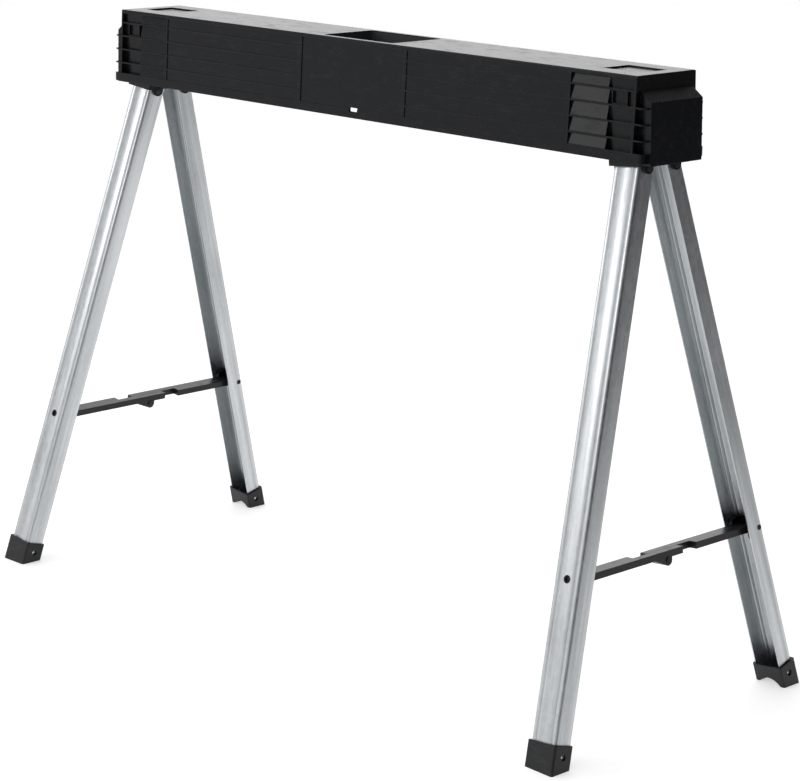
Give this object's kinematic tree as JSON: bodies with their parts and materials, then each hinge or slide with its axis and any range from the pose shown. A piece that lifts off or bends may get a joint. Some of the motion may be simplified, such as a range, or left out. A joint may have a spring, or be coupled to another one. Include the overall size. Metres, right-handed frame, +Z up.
{
  "type": "folding sawhorse",
  "caption": "Folding sawhorse: hollow ribbed plastic beam on splayed steel-channel A-frames with folding braces; each A-frame closes and folds up into the beam.",
  "frame": {"origin": "on the floor under the beam's middle", "axes": "+X along the beam, +Y across it towards the rear side, +Z up"},
  "size_m": [1.1332, 0.4806, 0.818],
  "materials": {
    "beam_plastic": "semi-gloss moulded black",
    "yoke_plastic": "satin moulded black",
    "boot_plastic": "satin moulded black",
    "bracket_plastic": "satin moulded black",
    "brace_plastic": "satin moulded black",
    "pin_steel": "dull zinc-plated",
    "knuckle_black": "black oxide",
    "galvanised_steel": "galvanised, softly streaked along its length"
  },
  "bodies": {
    "beam": {"beam_shell": "beam_plastic", "axle_left": "pin_steel", "axle_right": "pin_steel"},
    "yoke_left": {"yoke_left": "yoke_plastic", "leg_rivet_left_front": "knuckle_black", "leg_rivet_left_rear": "knuckle_black"},
    "leg_left_front": {"leg_left_front": "galvanised_steel", "boot_left_front": "boot_plastic", "bracket_left_front": "bracket_plastic", "brace_pin_left_front": "pin_steel"},
    "brace_left_front": {"brace_left_front": "brace_plastic", "knuckle_rivet_left_front": "knuckle_black"},
    "leg_left_rear": {"leg_left_rear": "galvanised_steel", "boot_left_rear": "boot_plastic", "bracket_left_rear": "bracket_plastic", "brace_pin_left_rear": "pin_steel"},
    "brace_left_rear": {"brace_left_rear": "brace_plastic", "knuckle_rivet_left_rear": "knuckle_black"},
    "yoke_right": {"yoke_right": "yoke_plastic", "leg_rivet_right_front": "knuckle_black", "leg_rivet_right_rear": "knuckle_black"},
    "leg_right_front": {"leg_right_front": "galvanised_steel", "boot_right_front": "boot_plastic", "bracket_right_front": "bracket_plastic", "brace_pin_right_front": "pin_steel"},
    "brace_right_front": {"brace_right_front": "brace_plastic", "knuckle_rivet_right_front": "knuckle_black"},
    "leg_right_rear": {"leg_right_rear": "galvanised_steel", "boot_right_rear": "boot_plastic", "bracket_right_rear": "bracket_plastic", "brace_pin_right_rear": "pin_steel"},
    "brace_right_rear": {"brace_right_rear": "brace_plastic", "knuckle_rivet_right_rear": "knuckle_black"}
  },
  "joints": [
    {"name": "left_fold", "type": "hinge", "parent": "beam", "child": "yoke_left", "pos_m": [-0.47242, 0, 0.733], "axis": [0, -1, 0], "range_deg": [0, 95.5]},
    {"name": "left_front_splay", "type": "hinge", "parent": "yoke_left", "child": "leg_left_front", "pos_m": [-0.47521, -0.0257, 0.704], "axis": [0.9954, 0, -0.0958], "range_deg": [0, 15.6]},
    {"name": "left_front_brace", "type": "hinge", "parent": "leg_left_front", "child": "brace_left_front", "pos_m": [-0.52182, -0.16146, 0.22], "axis": [0.9954, 0, -0.0958], "range_deg": [0, 68.09]},
    {"name": "left_rear_splay", "type": "hinge", "parent": "yoke_left", "child": "leg_left_rear", "pos_m": [-0.47521, 0.0257, 0.704], "axis": [-0.9954, 0, 0.0958], "range_deg": [0, 15.6]},
    {"name": "left_rear_brace", "type": "hinge", "parent": "leg_left_rear", "child": "brace_left_rear", "pos_m": [-0.52182, 0.16146, 0.22], "axis": [-0.9954, 0, 0.0958], "range_deg": [0, 68.09]},
    {"name": "right_fold", "type": "hinge", "parent": "beam", "child": "yoke_right", "pos_m": [0.46809, 0, 0.778], "axis": [0, 1, 0], "range_deg": [0, 95.5]},
    {"name": "right_front_splay", "type": "hinge", "parent": "yoke_right", "child": "leg_right_front", "pos_m": [0.47521, -0.0257, 0.704], "axis": [0.9954, 0, 0.0958], "range_deg": [0, 15.6]},
    {"name": "right_front_brace", "type": "hinge", "parent": "leg_right_front", "child": "brace_right_front", "pos_m": [0.52182, -0.16146, 0.22], "axis": [0.9954, 0, 0.0958], "range_deg": [0, 68.09]},
    {"name": "right_rear_splay", "type": "hinge", "parent": "yoke_right", "child": "leg_right_rear", "pos_m": [0.47521, 0.0257, 0.704], "axis": [-0.9954, 0, -0.0958], "range_deg": [0, 15.6]},
    {"name": "right_rear_brace", "type": "hinge", "parent": "leg_right_rear", "child": "brace_right_rear", "pos_m": [0.52182, 0.16146, 0.22], "axis": [-0.9954, 0, -0.0958], "range_deg": [0, 68.09]}
  ],
  "couplings": [
    {"joint": "left_front_splay", "follows": "left_fold", "ratio": 0.16335},
    {"joint": "left_front_brace", "follows": "left_fold", "ratio": 0.71297},
    {"joint": "left_rear_splay", "follows": "left_fold", "ratio": 0.16335},
    {"joint": "left_rear_brace", "follows": "left_fold", "ratio": 0.71297},
    {"joint": "right_front_splay", "follows": "right_fold", "ratio": 0.16335},
    {"joint": "right_front_brace", "follows": "right_fold", "ratio": 0.71297},
    {"joint": "right_rear_splay", "follows": "right_fold", "ratio": 0.16335},
    {"joint": "right_rear_brace", "follows": "right_fold", "ratio": 0.71297}
  ]
}
